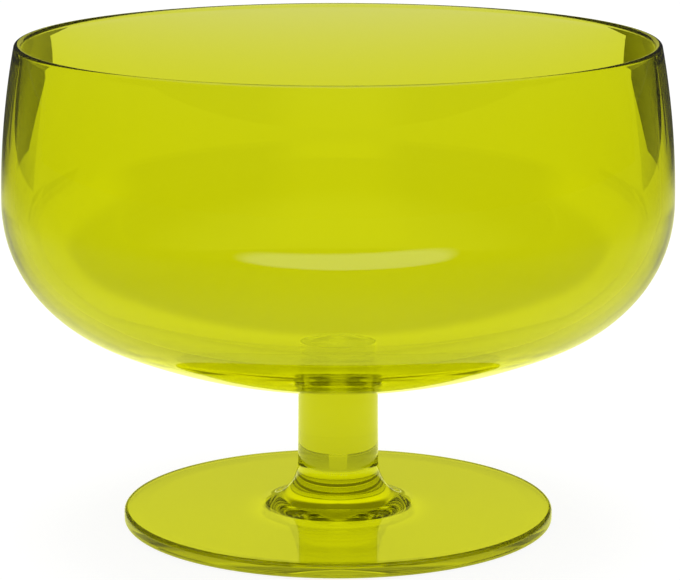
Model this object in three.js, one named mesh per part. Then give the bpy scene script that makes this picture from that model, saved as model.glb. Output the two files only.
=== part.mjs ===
// A footed ice cream bowl in clear lime plastic: a thin blown cup bonded to a solid moulded pedestal.
// Millimetres, +Z up. The origin is the middle of the foot's underside, on the axis of the bowl.

import * as THREE from 'three';

// Driving dimensions of the bowl
const BELLY_RADIUS = 57.5; // widest outside radius
const LIP_HEIGHT = 26.65; // from the belly up to the middle of the lip's round
const LIP_INSET = 2.58; // how far the outside leans in from the belly to the lip
const SHOULDER_RADIUS = 24; // outside curve just under the belly
const SHOULDER_SWEEP = 41; // degrees
const HAUNCH_RADIUS = 27; // easier curve that leads from the shoulder into the base
const HAUNCH_SWEEP = 24.5; // degrees
const LIP_WALL = 1.3;
const BELLY_WALL = 2.2;
const BASE_WALL = 3;

// Driving dimensions of the pedestal
const SEAT_HEIGHT = 25.2; // top of the stem, where the bowl is bonded
const STEM_TOP_RADIUS = 6.9;
const STEM_LOW_RADIUS = 7; // where the flare starts, wider by the mould's draft
const FLARE_RADIUS = 7.3; // hollow curve from the stem out to the foot
const FOOT_RADIUS = 37.35;
const FOOT_EDGE = 2.5; // thickness at the foot's edge
const FOOT_SLOPE = 1.3; // degrees that the foot's top falls towards its edge
const EDGE_ROUND = 0.7;
const STANDING_RING = 3; // width of the flat ring that the foot stands on
const UNDERSIDE_HOLLOW = 0.4; // how far the underside rises inside that ring

// Faceting
const SEGMENTS = 64; // round the axis
const ARC_STEP = 7; // degrees of arc between two points of an outline
const LIP_STEPS = 6; // over the lip's half round
const EDGE_STEPS = 3; // over each round of the foot's edge
const LONG_ARC_STEPS = 6; // over the lip and base curves, which turn slowly
const SAME_POINT = 1e-4; // nearer than this, two points of an outline are one

const LIME = 0xc8d018;

const radians = THREE.MathUtils.degToRad;

/** Points of an arc, each with its direction from the arc's centre, between two angles in radians. */
function arc(centreX, centreY, radius, from, to, steps) {
  const points = [];
  for (let i = 0; i <= steps; i += 1) {
    const angle = from + ((to - from) * i) / steps;
    const out = new THREE.Vector2(Math.cos(angle), Math.sin(angle));
    points.push({ at: new THREE.Vector2(centreX, centreY).addScaledVector(out, radius), out });
  }
  return points;
}

/** Number of steps that an arc of this sweep, in radians, takes. */
function stepsFor(sweep) {
  return Math.ceil(Math.abs(sweep) / radians(ARC_STEP));
}

/** An outline without points that repeat the one before. */
function withoutRepeats(points) {
  return points.filter((point, i) => i === 0 || point.distanceTo(points[i - 1]) > SAME_POINT);
}

/** A solid of revolution about Z. The outline starts and ends on the axis, lower end first. */
function revolve(name, outline, material) {
  const geometry = new THREE.LatheGeometry(withoutRepeats(outline), SEGMENTS);
  geometry.rotateX(Math.PI / 2);
  const mesh = new THREE.Mesh(geometry, material);
  mesh.name = name;
  return mesh;
}

/** The bowl's outside from the lip down to the axis, with the belly at height zero. */
function bowlOutside() {
  const lipRadius = (LIP_HEIGHT ** 2 + LIP_INSET ** 2) / (2 * LIP_INSET);
  const lipAngle = Math.asin(LIP_HEIGHT / lipRadius);
  const shoulder = radians(SHOULDER_SWEEP);
  const haunch = shoulder + radians(HAUNCH_SWEEP);
  const shoulderX = BELLY_RADIUS - SHOULDER_RADIUS;
  const haunchX = shoulderX + (SHOULDER_RADIUS - HAUNCH_RADIUS) * Math.cos(shoulder);
  const haunchY = -(SHOULDER_RADIUS - HAUNCH_RADIUS) * Math.sin(shoulder);
  const baseX = haunchX + HAUNCH_RADIUS * Math.cos(haunch);
  const baseRadius = baseX / Math.cos(haunch);
  const baseY = haunchY + (baseRadius - HAUNCH_RADIUS) * Math.sin(haunch);
  const lipCurve = arc(BELLY_RADIUS - lipRadius, 0, lipRadius, lipAngle, 0, LONG_ARC_STEPS);
  const shoulderCurve = arc(shoulderX, 0, SHOULDER_RADIUS, 0, -shoulder, stepsFor(shoulder));
  const haunchCurve = arc(haunchX, haunchY, HAUNCH_RADIUS, -shoulder, -haunch, stepsFor(haunch - shoulder));
  const seatAngle = Math.acos(STEM_TOP_RADIUS / baseRadius);
  const baseCurve = arc(0, baseY, baseRadius, -haunch, -seatAngle, LONG_ARC_STEPS);
  const underBase = { at: new THREE.Vector2(0, baseY - baseRadius), out: new THREE.Vector2(0, -1) };
  return [...lipCurve, ...shoulderCurve.slice(1), ...haunchCurve.slice(1), ...baseCurve.slice(1), underBase];
}

/** Wall thickness at a height over the belly: it thins to the lip and thickens to the base. */
function wallAt(height, baseDepth) {
  if (height > 0) {
    return BELLY_WALL + (LIP_WALL - BELLY_WALL) * (height / LIP_HEIGHT) ** 2;
  }
  return BELLY_WALL + ((BASE_WALL - BELLY_WALL) * height) / baseDepth;
}

/** The cup, which stands with its seat at height zero. */
function makeBowl(material) {
  const outside = bowlOutside();
  const baseDepth = outside.at(-1).at.y;
  const inside = outside.map(({ at, out }) => at.clone().addScaledVector(out, -wallAt(at.y, baseDepth)));
  inside.at(-1).x = 0;
  const lip = outside[0].at.clone().add(inside[0]).multiplyScalar(0.5);
  const lipAngle = outside[0].out.angle();
  const lipRound = arc(lip.x, lip.y, LIP_WALL / 2, lipAngle, lipAngle + Math.PI, LIP_STEPS);
  const seat = outside.at(-2).at.y;
  const shell = outside.slice(0, -1).map(({ at }) => at);
  const outline = [
    new THREE.Vector2(0, seat),
    ...shell.reverse(),
    ...lipRound.map(({ at }) => at),
    ...inside,
  ];
  const bowl = revolve('bowl', outline.map((point) => new THREE.Vector2(point.x, point.y - seat)), material);
  bowl.position.z = SEAT_HEIGHT;
  return bowl;
}

/** The solid stem and foot, standing on the ring under the foot's edge. */
function makePedestal(material) {
  const slope = radians(FOOT_SLOPE);
  const quarter = Math.PI / 2;
  const edgeRound = Math.min(EDGE_ROUND, FOOT_EDGE / 2);
  const roundX = FOOT_RADIUS - edgeRound;
  const bottomRound = arc(roundX, edgeRound, edgeRound, -quarter, 0, EDGE_STEPS);
  const topRound = arc(roundX, FOOT_EDGE - edgeRound, edgeRound, 0, quarter - slope, EDGE_STEPS);
  const topEdge = topRound.at(-1).at;
  const flareX = STEM_LOW_RADIUS + FLARE_RADIUS;
  const flareEndX = flareX - FLARE_RADIUS * Math.sin(slope);
  const flareEndY = topEdge.y + (topEdge.x - flareEndX) * Math.tan(slope);
  const flareY = flareEndY + FLARE_RADIUS * Math.cos(slope);
  const flareStart = -quarter - slope;
  const flare = arc(flareX, flareY, FLARE_RADIUS, flareStart, -Math.PI, stepsFor(quarter - slope));
  const outline = [
    new THREE.Vector2(0, UNDERSIDE_HOLLOW),
    new THREE.Vector2(roundX - STANDING_RING, 0),
    ...bottomRound.map(({ at }) => at),
    ...topRound.map(({ at }) => at),
    ...flare.map(({ at }) => at),
    new THREE.Vector2(STEM_TOP_RADIUS, SEAT_HEIGHT),
    new THREE.Vector2(0, SEAT_HEIGHT),
  ];
  return revolve('pedestal', outline, material);
}

const acrylic = new THREE.MeshStandardMaterial({
  color: LIME,
  roughness: 0.06,
  metalness: 0,
  transparent: true,
  opacity: 0.6,
});

const iceCreamBowl = new THREE.Group();
iceCreamBowl.add(makePedestal(acrylic), makeBowl(acrylic.clone()));

export default iceCreamBowl;
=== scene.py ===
"""A footed ice cream bowl of clear lime acrylic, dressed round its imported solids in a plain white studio."""

import logging
import math
from dataclasses import dataclass
from enum import Enum

import bmesh
import bpy
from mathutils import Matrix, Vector


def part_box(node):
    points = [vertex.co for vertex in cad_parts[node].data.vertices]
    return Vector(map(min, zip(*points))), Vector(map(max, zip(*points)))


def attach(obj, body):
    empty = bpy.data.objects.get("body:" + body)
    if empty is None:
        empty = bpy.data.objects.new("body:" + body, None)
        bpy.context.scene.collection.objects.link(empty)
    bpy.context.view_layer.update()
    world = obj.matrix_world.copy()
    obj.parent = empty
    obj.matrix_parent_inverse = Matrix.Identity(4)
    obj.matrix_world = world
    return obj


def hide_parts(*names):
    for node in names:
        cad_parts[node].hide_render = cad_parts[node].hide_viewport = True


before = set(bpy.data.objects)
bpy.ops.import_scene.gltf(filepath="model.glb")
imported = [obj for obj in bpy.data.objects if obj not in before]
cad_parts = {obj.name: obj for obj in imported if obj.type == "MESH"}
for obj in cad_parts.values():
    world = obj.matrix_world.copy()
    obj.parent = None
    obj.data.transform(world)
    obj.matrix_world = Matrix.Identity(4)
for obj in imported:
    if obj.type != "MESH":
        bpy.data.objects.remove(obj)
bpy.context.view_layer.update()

log = logging.getLogger("ice_cream_bowl")

MM = 0.001
QUARTER = math.pi / 2
ROOT = "root"
WHITE = "FFFFFF"
FULL_TURN = 2 * math.pi

# The outlines' steps, fine enough that light bends through the turned solids without a facet showing.
SEGMENTS = 256
LEAST_STEPS = 4
ARC_STEP = math.radians(1.5)
ARC_CHORD = 0.8 * MM
SUPPORT = 0.08 * MM
LONG_RUN = 1.5 * MM
SHARP_ANGLE = math.radians(35)
SAME_POINT = 1e-4 * MM
CARD_STEP = math.radians(3)


class Side(Enum):
    """The two sides of the set, by the sign of X."""

    LEFT = -1
    RIGHT = 1


class SeenBy(Enum):
    """The rays that meet a card of the set."""

    MIRRORED = "reflections"
    BENT = "refractions"


@dataclass(frozen=True)
class Spot:
    """A point of an outline, at a radius and a height, with the way out of the solid there."""

    at: Vector
    out: Vector


def linear(hex_colour: str) -> tuple[float, float, float, float]:
    """Turn an sRGB hex colour into linear RGBA.

    Args:
        hex_colour: six hex digits.

    Returns:
        The linear colour, opaque.
    """
    channels = [int(hex_colour[i:i + 2], 16) / 255 for i in (0, 2, 4)]
    red, green, blue = (c / 12.92 if c <= 0.04045 else ((c + 0.055) / 1.055) ** 2.4 for c in channels)
    return red, green, blue, 1.0


def add_node(
    tree: bpy.types.NodeTree,
    kind: str,
    settings: dict[str, object] | None = None,
    sockets: dict[str | int, object] | None = None,
) -> bpy.types.Node:
    """Add a node with its settings, socket values and links.

    Args:
        tree: the node tree that it goes into.
        kind: Blender's name of the node's type, without the leading ShaderNode.
        settings: attributes of the node itself.
        sockets: a value for each input, or the output socket that is linked to it.

    Returns:
        The new node.
    """
    node = tree.nodes.new("ShaderNode" + kind)
    for name, value in (settings or {}).items():
        setattr(node, name, value)
    for name, value in (sockets or {}).items():
        if isinstance(value, bpy.types.NodeSocket):
            tree.links.new(value, node.inputs[name])
        else:
            node.inputs[name].default_value = value
    return node


def new_material(name: str) -> bpy.types.Material:
    """Make a material with an empty node tree."""
    material = bpy.data.materials.new(name)
    material.use_nodes = True
    material.node_tree.nodes.clear()
    return material


Level = float | bpy.types.NodeSocket


@dataclass(frozen=True)
class Levels:
    """How bright a thing of the set is, by the way that a ray comes to it."""

    straight: Level
    mirrored: Level
    bent: Level
    scattered: Level

    def seen(self, tree: bpy.types.NodeTree) -> bpy.types.NodeSocket:
        """Choose between the levels.

        Args:
            tree: the node tree that needs the level.

        Returns:
            The output socket with the level for each ray.
        """
        path = add_node(tree, "LightPath").outputs
        level = self.scattered
        for way, found in (
            ("Is Glossy Ray", self.mirrored),
            ("Is Transmission Ray", self.bent),
            ("Diffuse Depth", self.scattered),
            ("Is Camera Ray", self.straight),
        ):
            mixed = add_node(
                tree, "Mix", {"clamp_factor": True},
                {"Factor": path[way], "A": level, "B": found},
            )
            level = mixed.outputs["Result"]
        return level


def fade(
    tree: bpy.types.NodeTree,
    value: bpy.types.NodeSocket,
    start: float,
    end: float,
    levels: tuple[Level, Level],
) -> bpy.types.NodeSocket:
    """Pass softly from one level to another.

    Args:
        tree: the node tree.
        value: what the level follows.
        start: the value up to which it has the first level.
        end: the value from which it has the second level.
        levels: the two levels.

    Returns:
        The output socket.
    """
    node = add_node(
        tree, "MapRange", {"interpolation_type": "SMOOTHSTEP"},
        {"Value": value, "From Min": start, "From Max": end, "To Min": levels[0], "To Max": levels[1]},
    )
    return node.outputs["Result"]


def reach(tree: bpy.types.NodeTree, spot: tuple[float, float, float]) -> bpy.types.NodeSocket:
    """Measure how far the shaded point is from a spot.

    Args:
        tree: the node tree.
        spot: the spot, from the object's own origin.

    Returns:
        The output socket with the distance.
    """
    place = add_node(tree, "TexCoord").outputs["Object"]
    return add_node(tree, "VectorMath", {"operation": "DISTANCE"}, {0: place, 1: spot}).outputs["Value"]


def arc(centre: Vector, radius: float, start: float, end: float) -> list[Spot]:
    """Lay points along an arc of an outline.

    Args:
        centre: the arc's centre, as radius and height.
        radius: the arc's own radius.
        start: the angle of its first point, in radians.
        end: the angle of its last point.

    Returns:
        The arc's points, each with its direction from the centre.
    """
    sweep = abs(end - start)
    steps = max(LEAST_STEPS, math.ceil(sweep / ARC_STEP), math.ceil(sweep * radius / ARC_CHORD))
    spots = []
    for i in range(steps + 1):
        angle = start + (end - start) * i / steps
        out = Vector((math.cos(angle), math.sin(angle)))
        spots.append(Spot(centre + out * radius, out))
    return spots


def supported(outline: list[Vector]) -> list[Vector]:
    """Add a point close to both ends of each long run, so that it shades as flat as it is.

    Args:
        outline: the points of the outline.

    Returns:
        The outline without repeats, with the added points.
    """
    points = [outline[0]]
    for end in outline[1:]:
        run = end - points[-1]
        if run.length < SAME_POINT:
            continue
        if run.length > LONG_RUN:
            step = run.normalized() * SUPPORT
            points.extend([points[-1] + step, end - step])
        points.append(end)
    return points


def turn(name: str, outline: list[Vector]) -> bpy.types.Object:
    """Turn an outline about the Z axis into a closed, smooth solid.

    Args:
        name: the piece's name.
        outline: points as radius and height, from the axis to the axis, lower end first.

    Returns:
        The new object, linked into the scene.
    """
    mesh_maker = bmesh.new()
    rings = []
    for radius, height in supported(outline):
        count = SEGMENTS if radius > SAME_POINT else 1
        angles = [FULL_TURN * i / count for i in range(count)]
        ring = [(radius * math.cos(a), radius * math.sin(a), height) for a in angles]
        rings.append([mesh_maker.verts.new(place) for place in ring])
    for low, high in zip(rings, rings[1:]):
        for i in range(SEGMENTS):
            here = (low[i % len(low)], low[(i + 1) % len(low)])
            there = (high[(i + 1) % len(high)], high[i % len(high)])
            mesh_maker.faces.new(dict.fromkeys(here + there))
    bmesh.ops.recalc_face_normals(mesh_maker, faces=mesh_maker.faces)
    mesh = bpy.data.meshes.new(name)
    mesh_maker.to_mesh(mesh)
    mesh_maker.free()
    mesh.shade_smooth()
    mesh.set_sharp_from_angle(angle=SHARP_ANGLE)
    piece = bpy.data.objects.new(name, mesh)
    bpy.context.scene.collection.objects.link(piece)
    return piece


def stage_mesh(name: str, points: list[tuple[float, ...]], faces: list[tuple[int, ...]]) -> bpy.types.Object:
    """Make a thing of the set.

    Args:
        name: its name.
        points: its corners.
        faces: its faces, by the numbers of their corners.

    Returns:
        The new object, linked into the scene.
    """
    mesh = bpy.data.meshes.new(name)
    mesh.from_pydata(points, [], faces)
    thing = bpy.data.objects.new(name, mesh)
    bpy.context.scene.collection.objects.link(thing)
    return thing


def band(name: str, outline: list[tuple[float, float]], start: float, end: float) -> bpy.types.Object:
    """Sweep an open outline about the Z axis into a card of the set.

    Args:
        name: the card's name.
        outline: its points as radius and height.
        start: the angle where it starts, in radians from the back of the set, to the right.
        end: the angle where it ends.

    Returns:
        The new object.
    """
    steps = math.ceil((end - start) / CARD_STEP)
    angles = [start + (end - start) * i / steps for i in range(steps + 1)]
    points = [(r * math.sin(a), r * math.cos(a), z) for a in angles for r, z in outline]
    width = len(outline)
    corners = [i * width + j for i in range(steps) for j in range(width - 1)]
    return stage_mesh(name, points, [(k, k + 1, k + 1 + width, k + width) for k in corners])


@dataclass(frozen=True)
class DyedAcrylic:
    """Acrylic (PMMA), dyed lime all through: the cup is blown, the pedestal moulded in polished steel.

    The dye takes blue from the light within a millimetre or two and leaves red and green, so one wall is
    a pale lime, two are a full one, and the solid stem and foot are hardly darker. Blowing and polished
    steel leave a mirror-like gloss with a very slight wave, and washing leaves a faint haze of fine marks.
    """

    skin: str = "FBFDFD"
    through_block: str = "E9E9FF"
    block: float = 25 * MM
    blue_depth: float = 0.87 * MM
    ior: float = 1.49
    gloss: float = 0.0
    haze: float = 0.03
    wave_length: float = 14 * MM
    wave_height: float = 0.004 * MM
    wave_detail: float = 1.0
    mark_size: float = 0.9 * MM
    mark_detail: float = 3.0
    mark_range: tuple[float, float] = (0.55, 0.8)

    def dye(self) -> tuple[float, float, float, float]:
        """Give the dye's absorption colour.

        It takes all the blue, and of red and green the little that a block takes.

        Returns:
            The colour, as the volume shader reads it.
        """
        red, green, _, _ = linear(self.through_block)
        kept = [1 + math.log(share) * self.blue_depth / self.block for share in (red, green)]
        return kept[0], kept[1], 0.0, 1.0

    def make(self) -> bpy.types.Material:
        """Build the material.

        Returns:
            The finished material.
        """
        material = new_material("dyed_acrylic_polished")
        tree = material.node_tree
        place = add_node(tree, "TexCoord").outputs["Object"]
        wave = add_node(
            tree, "TexNoise",
            sockets={"Vector": place, "Scale": 1 / self.wave_length, "Detail": self.wave_detail},
        )
        bump = add_node(
            tree, "Bump",
            sockets={"Strength": 1.0, "Distance": self.wave_height, "Height": wave.outputs["Fac"]},
        )
        marks = add_node(
            tree, "TexNoise",
            sockets={"Vector": place, "Scale": 1 / self.mark_size, "Detail": self.mark_detail},
        )
        roughness = fade(tree, marks.outputs["Fac"], *self.mark_range, (self.gloss, self.haze))
        surface = add_node(
            tree, "BsdfPrincipled",
            sockets={"Base Color": linear(self.skin), "Roughness": roughness, "IOR": self.ior,
                     "Transmission Weight": 1.0, "Normal": bump.outputs["Normal"]},
        )
        body = add_node(
            tree, "VolumeAbsorption",
            sockets={"Color": self.dye(), "Density": 1 / self.blue_depth},
        )
        add_node(
            tree, "OutputMaterial",
            sockets={"Surface": surface.outputs["BSDF"], "Volume": body.outputs["Volume"]},
        )
        return material


@dataclass(frozen=True)
class StudioPaper:
    """Matt white background paper, lit to white where the eye sees it, with the bowl's shadow left in it.

    Through the bowl and in its gloss the paper is less than white, as it is away from the lamps. Near the
    bowl a painted lime tint stands in for the light that has been through the plastic, and painted pools of
    light lie under the stem and, in the gloss only, behind the bowl and round the foot.
    """

    paper: str = "7A7A7A"
    # Painted lime tint near the bowl, in place of light that has been through the plastic.
    painted_lime_tint: str = "F8FB90"
    painted_tint_near: float = 0.46
    painted_tint_far: float = 0.62
    # Straight to the eye, through the plastic, and a painted pool of light added to that under the stem, in
    # place of the light that the stem leads down.
    lift: float = 0.9
    bent_lift: float = 0.53
    painted_stem_pool: float = 0.27
    stem_near: float = 9 * MM
    stem_far: float = 18 * MM
    # In the gloss only: a painted pool of light behind the bowl, and one round the foot, painted reflections
    # that light nothing.
    painted_rear_glow_level: float = 0.7
    back_at: float = 0.25
    back_near: float = 0.14
    back_far: float = 0.36
    painted_foot_glow_level: float = 0.6
    foot_near: float = 0.05
    foot_far: float = 0.16

    def make(self) -> bpy.types.Material:
        """Build the paper's material.

        Returns:
            The finished material.
        """
        material = new_material("matt_background_paper")
        tree = material.node_tree
        from_stem = reach(tree, (0, 0, 0))
        from_back = reach(tree, (0, self.back_at, 0))
        # Painted pools of light, seen only in the gloss.
        painted_rear_glow = fade(tree, from_back, self.back_near, self.back_far, (self.painted_rear_glow_level, 0.0))
        painted_foot_glow = fade(tree, from_stem, self.foot_near, self.foot_far, (self.painted_foot_glow_level, 0.0))
        # Painted pool of light on the paper under the stem, seen only through the plastic.
        painted_stem_pool_levels = (self.bent_lift + self.painted_stem_pool, self.bent_lift)
        levels = Levels(
            straight=self.lift,
            mirrored=add_node(tree, "Math", sockets={0: painted_rear_glow, 1: painted_foot_glow}).outputs["Value"],
            bent=fade(tree, from_stem, self.stem_near, self.stem_far, painted_stem_pool_levels),
            scattered=0.0,
        )
        direct = add_node(tree, "LightPath").outputs["Is Camera Ray"]
        # Painted lime tint on the paper near the bowl, seen only through the plastic and in its gloss.
        away = fade(tree, from_stem, self.painted_tint_near, self.painted_tint_far, (0.0, 1.0))
        plain = add_node(tree, "Math", {"operation": "MAXIMUM"}, {0: direct, 1: away}).outputs["Value"]
        colour = add_node(
            tree, "Mix", {"data_type": "RGBA"},
            {"Factor": plain, "A": linear(self.painted_lime_tint), "B": linear(WHITE)},
        )
        surface = add_node(
            tree, "BsdfPrincipled",
            sockets={"Base Color": linear(self.paper), "Roughness": 1.0, "Specular IOR Level": 0.0,
                     "Emission Color": colour.outputs["Result"], "Emission Strength": levels.seen(tree)},
        )
        add_node(tree, "OutputMaterial", sockets={"Surface": surface.outputs["BSDF"]})
        return material


@dataclass(frozen=True)
class PaintedShadeCard:
    """Matt dark card, which clear plastic needs beside it so that its edges show on white; it shows only in
    the bowl, as painted shade in its reflections and refractions.

    A feathered card is clear at the first distance from its origin and solid at the second. A hidden card
    is clear to rays with up to the first number of turns and solid from the second number on, so it shows
    in the bowl's edges, but not as a patch in the far wall when the bowl is looked into from another side.
    """

    name: str
    tone: str
    feather: tuple[float, float] | None = None
    turns: tuple[int, int] | None = None

    def make(self) -> bpy.types.Material:
        """Build the card's material.

        Returns:
            The finished material.
        """
        material = new_material(self.name)
        tree = material.node_tree
        surface = add_node(tree, "BsdfDiffuse", sockets={"Color": linear(self.tone)}).outputs["BSDF"]
        share = None
        if self.feather:
            share = fade(tree, reach(tree, (0, 0, 0)), *self.feather, (0.0, 1.0))
        elif self.turns:
            share = fade(tree, add_node(tree, "LightPath").outputs["Ray Depth"], *self.turns, (0.0, 1.0))
        if share is not None:
            clear = add_node(tree, "BsdfTransparent").outputs["BSDF"]
            surface = add_node(tree, "MixShader", sockets={0: share, 1: clear, 2: surface}).outputs["Shader"]
        add_node(tree, "OutputMaterial", sockets={"Surface": surface})
        return material


@dataclass(frozen=True)
class PaintedGlowCard:
    """Card that glows evenly though it is no lamp, a painted light where it shows.

    A feathered card glows fully up to the first distance from its origin and not at all at the second.
    """

    name: str
    tone: str
    light: float
    feather: tuple[float, float] | None = None

    def make(self) -> bpy.types.Material:
        """Build the card's material.

        Returns:
            The finished material.
        """
        material = new_material(self.name)
        tree = material.node_tree
        strength = self.light
        if self.feather:
            strength = fade(tree, reach(tree, (0, 0, 0)), *self.feather, (self.light, 0.0))
        light = add_node(tree, "Emission", sockets={"Color": linear(self.tone), "Strength": strength})
        add_node(tree, "OutputMaterial", sockets={"Surface": light.outputs["Emission"]})
        return material


@dataclass
class Bowl:
    """The thin-walled cup, from its rounded lip down to the flat seat that is bonded to the stem."""

    belly_radius: float
    seat_height: float
    seat_radius: float
    lip_height: float = 26.65 * MM
    lip_inset: float = 2.58 * MM
    shoulder_radius: float = 24 * MM
    shoulder_sweep: float = math.radians(41)
    haunch_radius: float = 27 * MM
    haunch_sweep: float = math.radians(24.5)
    lip_wall: float = 1.3 * MM
    belly_wall: float = 2.2 * MM
    base_wall: float = 3 * MM

    def outside(self) -> list[Spot]:
        """Follow the outside from the lip down to the axis, with the belly at height zero.

        Returns:
            The outside's points, the last one under the middle of the base.
        """
        lip_radius = (self.lip_height ** 2 + self.lip_inset ** 2) / (2 * self.lip_inset)
        lip_angle = math.asin(self.lip_height / lip_radius)
        shoulder = self.shoulder_sweep
        haunch = shoulder + self.haunch_sweep
        shoulder_at = Vector((self.belly_radius - self.shoulder_radius, 0))
        toward_haunch = Vector((math.cos(shoulder), -math.sin(shoulder)))
        haunch_at = shoulder_at + toward_haunch * (self.shoulder_radius - self.haunch_radius)
        haunch_end = haunch_at + Vector((math.cos(haunch), -math.sin(haunch))) * self.haunch_radius
        base_radius = haunch_end.x / math.cos(haunch)
        base_at = Vector((0, haunch_end.y + base_radius * math.sin(haunch)))
        seat_angle = math.acos(self.seat_radius / base_radius)
        return [
            *arc(Vector((self.belly_radius - lip_radius, 0)), lip_radius, lip_angle, 0),
            *arc(shoulder_at, self.shoulder_radius, 0, -shoulder)[1:],
            *arc(haunch_at, self.haunch_radius, -shoulder, -haunch)[1:],
            *arc(base_at, base_radius, -haunch, -seat_angle)[1:],
            *arc(base_at, base_radius, -seat_angle, -QUARTER)[1:],
        ]

    def wall_at(self, height: float, depth: float) -> float:
        """Give the wall's thickness: it thins to the lip and thickens to the base.

        Args:
            height: the height over the belly.
            depth: the height of the base's middle under the belly, a negative number.

        Returns:
            The thickness there.
        """
        if height > 0:
            return self.belly_wall + (self.lip_wall - self.belly_wall) * (height / self.lip_height) ** 2
        return self.belly_wall + (self.base_wall - self.belly_wall) * height / depth

    def build(self) -> bpy.types.Object:
        """Turn the cup: seat, outside, lip, inside.

        Returns:
            The cup's object.
        """
        outside = self.outside()
        depth = outside[-1].at.y
        inside = [spot.at - spot.out * self.wall_at(spot.at.y, depth) for spot in outside]
        inside[-1].x = 0
        lip = (outside[0].at + inside[0]) / 2
        lip_angle = math.atan2(outside[0].out.y, outside[0].out.x)
        lip_round = arc(lip, self.lip_wall / 2, lip_angle, lip_angle + math.pi)
        shell = [spot.at for spot in outside if spot.at.x > self.seat_radius - SAME_POINT]
        seat = shell[-1].y
        outline = [Vector((0, seat)), *reversed(shell), *(spot.at for spot in lip_round), *inside]
        lift = Vector((0, self.seat_height - seat))
        return turn("bowl_cup", [point + lift for point in outline])

    def dress(self, cup: bpy.types.Object, acrylic: bpy.types.Material) -> None:
        """Give the cup its finish and its place in the frame.

        Args:
            cup: the cup's object.
            acrylic: its material.
        """
        cup.data.materials.append(acrylic)
        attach(cup, ROOT)
        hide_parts("bowl")


@dataclass
class Pedestal:
    """The solid stem with the wide foot that it flares into, moulded in one."""

    foot_radius: float
    seat_height: float
    stem_top_radius: float = 6.9 * MM
    stem_low_radius: float = 7 * MM
    flare_radius: float = 7.3 * MM
    foot_edge: float = 2.5 * MM
    foot_slope: float = math.radians(1.3)
    edge_round: float = 0.7 * MM
    standing_ring: float = 3 * MM
    underside_hollow: float = 0.4 * MM
    bond_depth: float = 0.03 * MM

    def build(self) -> bpy.types.Object:
        """Turn the pedestal: underside, edge, top of the foot, flare, stem.

        The stem's top reaches into the seat by the depth of the bond, which leaves no air between the two.

        Returns:
            The pedestal's object.
        """
        slope = self.foot_slope
        rim = self.foot_radius - self.edge_round
        bottom_round = arc(Vector((rim, self.edge_round)), self.edge_round, -QUARTER, 0)
        top_round = arc(Vector((rim, self.foot_edge - self.edge_round)), self.edge_round, 0, QUARTER - slope)
        top_edge = top_round[-1].at
        flare_x = self.stem_low_radius + self.flare_radius
        flare_end_x = flare_x - self.flare_radius * math.sin(slope)
        flare_end_y = top_edge.y + (top_edge.x - flare_end_x) * math.tan(slope)
        flare_at = Vector((flare_x, flare_end_y + self.flare_radius * math.cos(slope)))
        flare = arc(flare_at, self.flare_radius, -QUARTER - slope, -math.pi)
        top = self.seat_height + self.bond_depth
        outline = [
            Vector((0, self.underside_hollow)),
            Vector((rim - self.standing_ring, 0)),
            *(spot.at for spot in bottom_round),
            *(spot.at for spot in top_round),
            *(spot.at for spot in flare),
            Vector((self.stem_top_radius, top)),
            Vector((0, top)),
        ]
        return turn("stem_and_foot", outline)

    def dress(self, stem: bpy.types.Object, acrylic: bpy.types.Material) -> None:
        """Give the pedestal its finish and its place in the frame.

        Args:
            stem: the pedestal's object.
            acrylic: its material.
        """
        stem.data.materials.append(acrylic)
        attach(stem, ROOT)
        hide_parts("pedestal")


def show_in_bowl(card: bpy.types.Object, finish: bpy.types.Material, seen_by: SeenBy) -> None:
    """Finish a card of the set and keep it out of the picture, so that it shows only in the bowl, as a painted
    reflection or refraction.

    Args:
        card: the card.
        finish: its material.
        seen_by: the rays that meet it.
    """
    card.data.materials.append(finish)
    card.visible_camera = False
    card.visible_diffuse = False
    card.visible_shadow = False
    card.visible_glossy = seen_by is SeenBy.MIRRORED
    card.visible_transmission = seen_by is SeenBy.BENT


@dataclass
class Floor:
    """The white paper just under the foot."""

    radius: float = 6.0
    drop: float = 0.2 * MM

    def build(self, paper: bpy.types.Material) -> None:
        """Lay the paper."""
        floor = band("floor", [(0, -self.drop), (self.radius, -self.drop)], 0, FULL_TURN)
        floor.data.materials.append(paper)


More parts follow.
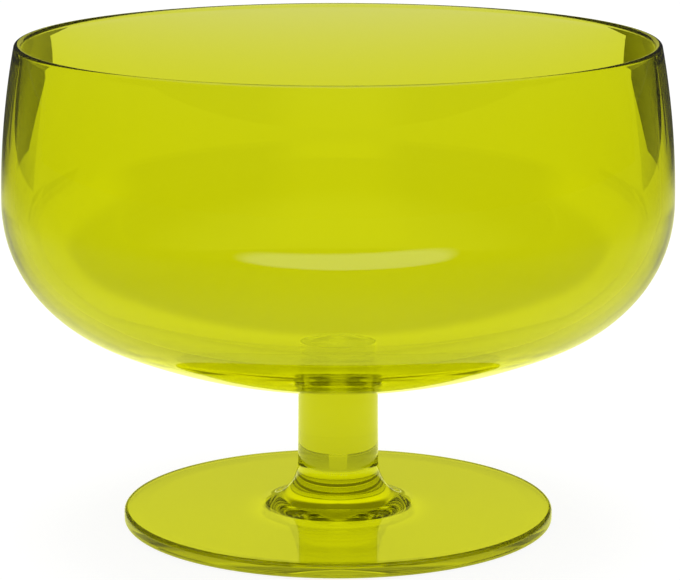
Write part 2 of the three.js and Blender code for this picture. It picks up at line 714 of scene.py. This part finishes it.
@dataclass
class SideCards:
    """Dark cards that lie to each side behind the bowl, seen only through the plastic, as painted shade for
    the dark lines down its sides and at its rim.
    """

    # Corners of the flat cards on the right, as X and Y. The far one is for the rim and isn't hidden.
    inner: tuple[tuple[float, float], ...] = (
        (0.115, 0.353), (0.138, 0.316), (0.19, 0.287), (0.19, 0.43), (0.108, 0.43),
    )
    far: tuple[tuple[float, float], ...] = ((0.103, 0.44), (0.15, 0.44), (0.15, 0.57), (0.103, 0.57))
    outer_near: float = 0.374
    outer_far: float = 0.62
    outer_start: float = math.radians(31)
    outer_end: float = math.radians(60)
    height: float = 0.5 * MM
    # Tones of the painted shade, darker on the right.
    painted_shade_left: str = "585858"
    painted_shade_right: str = "141414"
    hidden_turns: tuple[int, int] = (2, 3)

    def flat_card(self, name: str, corners: tuple[tuple[float, float], ...], side: Side) -> bpy.types.Object:
        """Lay a flat card.

        Args:
            name: what the card is called.
            corners: its corners on the right, as X and Y.
            side: the side that it lies on.

        Returns:
            The card's object.
        """
        points = [(side.value * x, y, self.height) for x, y in corners]
        return stage_mesh(f"{name}_{side.name.lower()}", points, [tuple(range(len(points)))])

    def build(self) -> None:
        """Lay an inner, an outer and a far card on each side."""
        ring = [(self.outer_near, self.height), (self.outer_far, self.height)]
        for side, tone in ((Side.LEFT, self.painted_shade_left), (Side.RIGHT, self.painted_shade_right)):
            name = side.name.lower()
            hidden = PaintedShadeCard(f"matt_hidden_card_{name}", tone, turns=self.hidden_turns).make()
            start, end = sorted((side.value * self.outer_start, side.value * self.outer_end))
            show_in_bowl(self.flat_card("inner_card", self.inner, side), hidden, SeenBy.BENT)
            show_in_bowl(band(f"outer_card_{name}", ring, start, end), hidden, SeenBy.BENT)
            plain = PaintedShadeCard(f"matt_far_card_{name}", tone).make()
            show_in_bowl(self.flat_card("far_card", self.far, side), plain, SeenBy.BENT)


@dataclass
class Cloths:
    """Dark cloth round the paper and hung up in front, seen only in the bowl's gloss, as painted shade that
    keeps the gloss dark there.
    """

    middle: float = 0.1
    start: float = 0.18
    full: float = 0.42
    end: float = 5.0
    lift: float = 1 * MM
    front_distance: float = 0.8
    front_height: float = 0.6
    front_half: float = math.radians(115)
    # Tone of the painted shade in the gloss.
    tone: str = "484848"

    def build(self) -> None:
        """Lay the cloth with its feathered inner edge, and hang the other one."""
        flat = band("cloth", [(self.start, self.lift), (self.end, self.lift)], 0, FULL_TURN)
        flat.location.y = self.middle
        feathered = PaintedShadeCard("painted_dark_reflection_feathered", self.tone, (self.start, self.full)).make()
        show_in_bowl(flat, feathered, SeenBy.MIRRORED)
        upright = [(self.front_distance, 0), (self.front_distance, self.front_height)]
        front = band("front_cloth", upright, math.pi - self.front_half, math.pi + self.front_half)
        show_in_bowl(front, PaintedShadeCard("painted_dark_reflection", self.tone).make(), SeenBy.MIRRORED)


@dataclass
class PaintedGlowCards:
    """Glowing cards seen only in the gloss: a lime card behind the bowl, a painted reflection in the foot's
    gloss, and a white disc before it, a painted highlight on the belly.
    """

    lime_distance: float = 1.0
    lime_low: float = 0.08
    lime_high: float = 0.5
    lime_half: float = math.radians(9)
    painted_reflection_lime: str = "DEDE60"
    painted_reflection_level: float = 1.0
    gleam_at: tuple[float, float] = (0.02, -0.31)
    gleam_half: tuple[float, float] = (0.216, 0.078)
    gleam_lift: float = 2 * MM
    painted_highlight_level: float = 1.9
    gleam_feather: tuple[float, float] = (0.75, 1.0)

    def build(self) -> None:
        """Stand the lime card and lay the white disc."""
        upright = [(self.lime_distance, self.lime_low), (self.lime_distance, self.lime_high)]
        lime = band("lime_card", upright, -self.lime_half, self.lime_half)
        # Painted lime reflection, glowing in the gloss only.
        show_in_bowl(lime, PaintedGlowCard("painted_lime_reflection", self.painted_reflection_lime, self.painted_reflection_level).make(), SeenBy.MIRRORED)
        gleam = band("gleam_disc", [(0, 0), (1, 0)], 0, FULL_TURN)
        gleam.location = (*self.gleam_at, self.gleam_lift)
        gleam.scale = (*self.gleam_half, 1)
        # Painted highlight on the belly, glowing in the gloss only.
        white = PaintedGlowCard("painted_white_highlight", WHITE, self.painted_highlight_level, self.gleam_feather).make()
        show_in_bowl(gleam, white, SeenBy.MIRRORED)


@dataclass
class Room:
    """The soft box over the bowl, and the room's light: white to the eye, even where it lights, and painted,
    lighting nothing, where only the plastic and its gloss see it.
    """

    box_size: float = 0.6
    box_power: float = 4.0
    box_at: tuple[float, float, float] = (0.0, 0.1, 0.9)
    even_light: float = 0.5
    # Through the plastic only, painted levels that light nothing: low at the back, above that, in front of the
    # bowl, and beside the camera.
    bent_low: float = 0.88
    bent_back: float = 0.22
    bent_front: float = 0.9
    bent_side: float = 0.03
    sweep_top: float = math.radians(14)
    sweep_end: float = math.radians(22)
    side_start: float = 0.15
    side_full: float = 0.5
    wall_blend: float = 0.2
    # Through the plastic in many turns: a painted brighter window in the middle of the back.
    painted_window_level: float = 2.0
    led_top: float = math.radians(17)
    led_end: float = math.radians(27)
    led_edge: tuple[float, float] = (0.26, 0.36)
    led_turns: tuple[int, int] = (8, 12)
    # In the gloss only: painted dark up to a painted bright ceiling.
    gloss_low: float = 0.04
    painted_ceiling_level: float = 0.8
    ceiling_start: float = math.radians(40)
    ceiling_end: float = math.radians(70)
    bounces: int = 96

    def hang_softbox(self) -> None:
        """Hang the soft box, facing down and out of the bowl's gloss."""
        lamp = bpy.data.lights.new("softbox", "AREA")
        lamp.shape = "DISK"
        lamp.size = self.box_size
        lamp.energy = self.box_power
        softbox = bpy.data.objects.new("softbox", lamp)
        softbox.location = self.box_at
        softbox.rotation_euler = softbox.location.to_track_quat("Z", "Y").to_euler()
        softbox.visible_glossy = False
        softbox.visible_transmission = False
        bpy.context.scene.collection.objects.link(softbox)

    def bent_level(
        self,
        tree: bpy.types.NodeTree,
        across: bpy.types.NodeSocket,
        depth: bpy.types.NodeSocket,
        height: bpy.types.NodeSocket,
    ) -> bpy.types.NodeSocket:
        """Give the room's painted brightness through the bowl.

        It is painted bright low at the back and dark beside the camera. Rays that the wall of the cup has
        turned many times see a painted brighter window in the middle of the back, which makes up for the light
        that such long paths lose in the plastic.

        Args:
            tree: the world's node tree.
            across: the ray's direction to the right.
            depth: the ray's direction towards the back.
            height: the ray's direction upwards.

        Returns:
            The output socket with the level.
        """
        sweep = (math.sin(self.sweep_top), math.sin(self.sweep_end))
        window = (math.sin(self.led_top), math.sin(self.led_end))
        turns = add_node(tree, "LightPath").outputs["Ray Depth"]
        aside = add_node(tree, "Math", {"operation": "ABSOLUTE"}, {0: across}).outputs["Value"]
        plain = fade(tree, height, *sweep, (self.bent_low, self.bent_back))
        middle = fade(tree, aside, *self.led_edge, (self.painted_window_level, self.bent_low))
        # Painted brighter window, seen only by rays that have turned many times.
        led = fade(tree, height, *window, (middle, self.bent_back))
        back = fade(tree, turns, *self.led_turns, (plain, led))
        front = fade(tree, aside, self.side_start, self.side_full, (self.bent_front, self.bent_side))
        behind = fade(tree, depth, -self.wall_blend, self.wall_blend, (0.0, 1.0))
        return add_node(tree, "Mix", sockets={"Factor": behind, "A": front, "B": back}).outputs["Result"]

    def build(self) -> None:
        """Light the room, which is white to the eye, and hang the soft box."""
        world = bpy.data.worlds.new("white_room")
        world.use_nodes = True
        world.node_tree.nodes.clear()
        bpy.context.scene.world = world
        tree = world.node_tree
        way = add_node(tree, "TexCoord").outputs["Generated"]
        across, depth, height = add_node(tree, "SeparateXYZ", sockets={"Vector": way}).outputs
        ceiling = (math.sin(self.ceiling_start), math.sin(self.ceiling_end))
        levels = Levels(
            straight=1.0,
            mirrored=fade(tree, height, *ceiling, (self.gloss_low, self.painted_ceiling_level)),
            bent=self.bent_level(tree, across, depth, height),
            scattered=self.even_light,
        )
        light = add_node(tree, "Background", sockets={"Color": linear(WHITE), "Strength": levels.seen(tree)})
        add_node(tree, "OutputWorld", sockets={"Surface": light.outputs["Background"]})
        self.hang_softbox()

    def set_light_paths(self) -> None:
        """Let light bounce often enough to get out of the thin wall, and show colours as they are."""
        scene = bpy.context.scene
        scene.view_settings.view_transform = "Standard"
        scene.cycles.max_bounces = self.bounces
        scene.cycles.transmission_bounces = self.bounces
        scene.cycles.glossy_bounces = self.bounces


@dataclass
class Camera:
    """The camera, where the photograph was taken from, with lengths on the picture in its pixels."""

    eye_at: tuple[float, float, float] = (0.0, -0.5297, 0.15208)
    look_at: tuple[float, float, float] = (0.0, 0.0, 0.04059)
    picture_width: float = 680.0
    focal_pixels: float = 3134.4
    axis_pixel: float = 338.1
    sensor: float = 36.0

    def build(self) -> None:
        """Set the camera up and make it the scene's own."""
        lens = bpy.data.cameras.new("camera")
        lens.sensor_width = self.sensor
        lens.lens = self.focal_pixels * self.sensor / self.picture_width
        lens.shift_x = (self.picture_width / 2 - self.axis_pixel) / self.picture_width
        camera = bpy.data.objects.new("camera", lens)
        camera.location = self.eye_at
        aim = Vector(self.look_at) - Vector(self.eye_at)
        camera.rotation_euler = aim.to_track_quat("-Z", "Y").to_euler()
        bpy.context.scene.collection.objects.link(camera)
        bpy.context.scene.camera = camera


def build_set() -> None:
    """Set up the camera, the paper, the cards and the light."""
    Camera().build()
    Floor().build(StudioPaper().make())
    for cards in (SideCards(), Cloths(), PaintedGlowCards()):
        cards.build()
        log.info("%s stand ready", type(cards).__name__)
    room = Room()
    room.build()
    room.set_light_paths()


def main() -> None:
    """Build the set and the bowl's two pieces, in order."""
    logging.basicConfig(level=logging.INFO, format="%(name)s: %(message)s")
    build_set()
    acrylic = DyedAcrylic().make()
    _, pedestal_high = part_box("pedestal")
    bowl_low, bowl_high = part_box("bowl")
    pedestal = Pedestal(foot_radius=pedestal_high.x, seat_height=bowl_low.z)
    stem = pedestal.build()
    pedestal.dress(stem, acrylic)
    log.info("%s: %d faces", stem.name, len(stem.data.polygons))
    bowl = Bowl(belly_radius=bowl_high.x, seat_height=bowl_low.z, seat_radius=pedestal.stem_top_radius)
    cup = bowl.build()
    bowl.dress(cup, acrylic)
    log.info("%s: %d faces", cup.name, len(cup.data.polygons))


if __name__ == "__main__":
    main()
